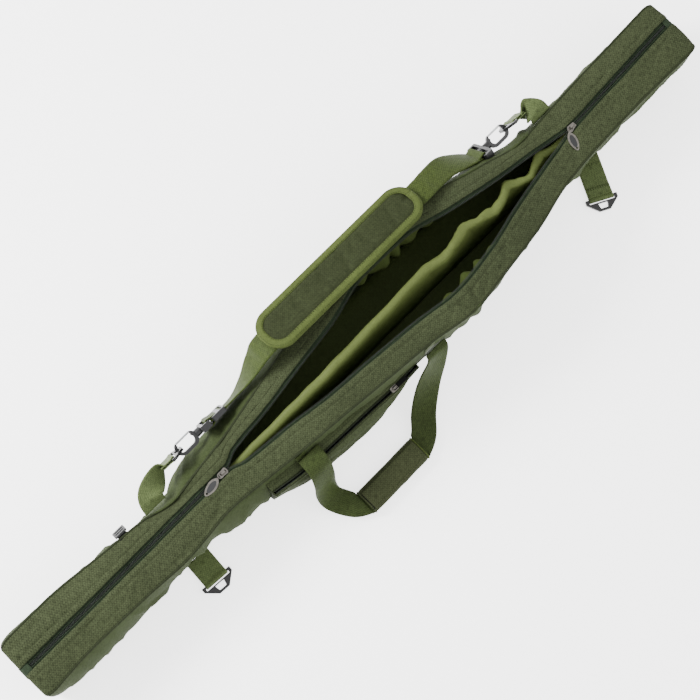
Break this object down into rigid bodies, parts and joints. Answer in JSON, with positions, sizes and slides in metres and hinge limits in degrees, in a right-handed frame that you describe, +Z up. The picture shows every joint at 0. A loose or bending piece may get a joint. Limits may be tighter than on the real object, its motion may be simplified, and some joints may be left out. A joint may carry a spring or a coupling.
{
  "type": "padded rod case",
  "caption": "Long soft case lying flat, front zip parted over a divider, with a padded shoulder strap on snap hooks, a grab handle and a side pocket.",
  "frame": {"origin": "middle of the back panel's outer face, which the case lies on", "axes": "+X along the case from the butt end to the tip end, +Y to the shoulder strap's side, +Z up from the face it lies on"},
  "size_m": [1.343, 0.312, 0.1802],
  "materials": {
    "front_fabric": "matt woven polyester, dark olive",
    "side_fabric": "smooth coated polyester, olive",
    "pocket_fabric": "matt woven polyester, olive",
    "piping": "dark bound piping",
    "zip_tape": "dark green zip tape",
    "zip_coil": "nylon coil",
    "divider_fabric": "lime lining over foam",
    "binding": "lime edge binding",
    "webbing": "olive green webbing",
    "tab_webbing": "olive webbing, doubled and stitched",
    "tie_webbing": "black elastic webbing",
    "pad_fabric": "dark olive ribbed fabric",
    "pad_foam": "soft foam",
    "black_plastic": "moulded acetal, satin",
    "chrome": "bright plated steel",
    "nickel": "satin nickel plate",
    "pull_inlay": "soft rubber inlay"
  },
  "bodies": {
    "case": {"side_panel_left": "side_fabric", "side_panel_right": "side_fabric", "front_panel_left": "front_fabric", "front_panel_right": "front_fabric", "back_panel": "side_fabric", "end_panel_butt": "side_fabric", "end_panel_tip": "side_fabric", "zip_end_tabs": "side_fabric", "seam_piping_left": "piping", "seam_piping_right": "piping", "zip_tape_left": "zip_tape", "zip_tape_right": "zip_tape", "zip_coil_left": "zip_coil", "zip_coil_right": "zip_coil", "divider_pad": "divider_fabric", "divider_binding": "binding", "rod_tie_left": "tie_webbing", "rod_tie_right": "tie_webbing", "handle_anchors": "webbing", "tab_anchors_right": "tab_webbing", "pocket_front": "pocket_fabric", "pocket_top": "pocket_fabric", "pocket_ends": "pocket_fabric", "pocket_zip": "zip_coil", "tab_left_butt": "tab_webbing", "tab_left_tip": "tab_webbing", "ring_left_butt": "black_plastic", "ring_left_tip": "black_plastic", "hook_butt": "black_plastic", "hook_tip": "black_plastic", "keeper_buckle": "black_plastic"},
    "zip_slider_butt": {"slider_butt": "nickel"},
    "zip_pull_butt": {"pull_butt": "nickel", "pull_butt_link": "nickel", "pull_butt_inlay": "pull_inlay"},
    "zip_slider_tip": {"slider_tip": "nickel"},
    "zip_pull_tip": {"pull_tip": "nickel", "pull_tip_link": "nickel", "pull_tip_inlay": "pull_inlay"},
    "pocket_zip_slider": {"pocket_slider": "nickel"},
    "pocket_zip_pull": {"pocket_pull": "tie_webbing"},
    "right_tab_butt": {"tab_right_butt": "tab_webbing"},
    "right_ring_butt": {"ring_right_butt": "black_plastic"},
    "right_tab_tip": {"tab_right_tip": "tab_webbing"},
    "right_ring_tip": {"ring_right_tip": "black_plastic"},
    "carry_handle": {"handle_leg_butt": "webbing", "handle_leg_tip": "webbing", "handle_webbing_middle": "webbing", "grip_wrap": "tab_webbing"},
    "grip_closure": {"grip_flap": "tab_webbing"},
    "shoulder_strap": {"strap_webbing": "webbing", "strap_loop_butt": "black_plastic", "strap_loop_tip": "black_plastic", "pad_cover": "pad_fabric", "pad_foam": "pad_foam", "pad_binding": "binding"},
    "strap_slide": {"strap_adjuster": "black_plastic"},
    "hook_gate_butt": {"gate_butt": "chrome"},
    "hook_gate_tip": {"gate_tip": "chrome"}
  },
  "joints": [
    {"name": "zip_slide_butt", "type": "slide", "parent": "case", "child": "zip_slider_butt", "axis": [-1, 0, 0], "range_m": [0, 0.355]},
    {"name": "zip_pull_flip_butt", "type": "hinge", "parent": "zip_slider_butt", "child": "zip_pull_butt", "pos_m": [-0.288, 0, 0.1094], "axis": [-0.0349, 0.9994, 0], "range_deg": [0, 160]},
    {"name": "zip_slide_tip", "type": "slide", "parent": "case", "child": "zip_slider_tip", "axis": [0.9991, 0.0416, 0], "range_m": [0, 0.205]},
    {"name": "zip_pull_flip_tip", "type": "hinge", "parent": "zip_slider_tip", "child": "zip_pull_tip", "pos_m": [0.438, -0.00267, 0.1094], "axis": [-0.2485, 0.9686, 0], "range_deg": [0, 160]},
    {"name": "pocket_zip_slide", "type": "slide", "parent": "case", "child": "pocket_zip_slider", "axis": [-0.999, 0.0457, 0], "range_m": [0, 0.155]},
    {"name": "pocket_pull_flip", "type": "hinge", "parent": "pocket_zip_slider", "child": "pocket_zip_pull", "pos_m": [-0.0312, -0.0875, 0.09865], "axis": [-0.0457, -0.999, 0], "range_deg": [0, 160]},
    {"name": "right_tab_lift_butt", "type": "hinge", "parent": "case", "child": "right_tab_butt", "pos_m": [-0.395, -0.052, 0.0044], "axis": [-1, 0, 0], "range_deg": [0, 60]},
    {"name": "right_ring_turn_butt", "type": "hinge", "parent": "right_tab_butt", "child": "right_ring_butt", "pos_m": [-0.398, -0.093, 0.0044], "axis": [-0.9973, 0.073, 0], "range_deg": [0, 60]},
    {"name": "right_tab_lift_tip", "type": "hinge", "parent": "case", "child": "right_tab_tip", "pos_m": [0.4546, -0.05, 0.0044], "axis": [-1, 0, 0], "range_deg": [0, 60]},
    {"name": "right_ring_turn_tip", "type": "hinge", "parent": "right_tab_tip", "child": "right_ring_tip", "pos_m": [0.427, -0.104, 0.0044], "axis": [-0.8904, 0.4551, 0], "range_deg": [0, 60]},
    {"name": "handle_swing", "type": "hinge", "parent": "case", "child": "carry_handle", "pos_m": [-0.185, -0.0645, 0.108], "axis": [-0.9942, 0.099, -0.0421], "range_deg": [0, 105]},
    {"name": "grip_closure_open", "type": "hinge", "parent": "carry_handle", "child": "grip_closure", "pos_m": [-0.109, -0.157, 0.0215], "axis": [-1, 0, 0], "range_deg": [0, 150]},
    {"name": "strap_swing", "type": "hinge", "parent": "case", "child": "shoulder_strap", "pos_m": [0.0285, 0.067, 0.099], "axis": [-1, 0, 0], "range_deg": [0, 24]},
    {"name": "strap_adjust", "type": "slide", "parent": "shoulder_strap", "child": "strap_slide", "axis": [1, 0, 0], "range_m": [0, 0.014]},
    {"name": "gate_open_butt", "type": "hinge", "parent": "case", "child": "hook_gate_butt", "pos_m": [-0.283, 0.07628, 0.10181], "axis": [0, -0.29, 0.957], "range_deg": [0, 15], "stiffness_Nm_per_rad": 0.03, "springref_deg": -11.46},
    {"name": "gate_open_tip", "type": "hinge", "parent": "case", "child": "hook_gate_tip", "pos_m": [0.34, 0.07628, 0.10181], "axis": [0, 0.29, -0.957], "range_deg": [0, 15], "stiffness_Nm_per_rad": 0.03, "springref_deg": -11.46}
  ]
}
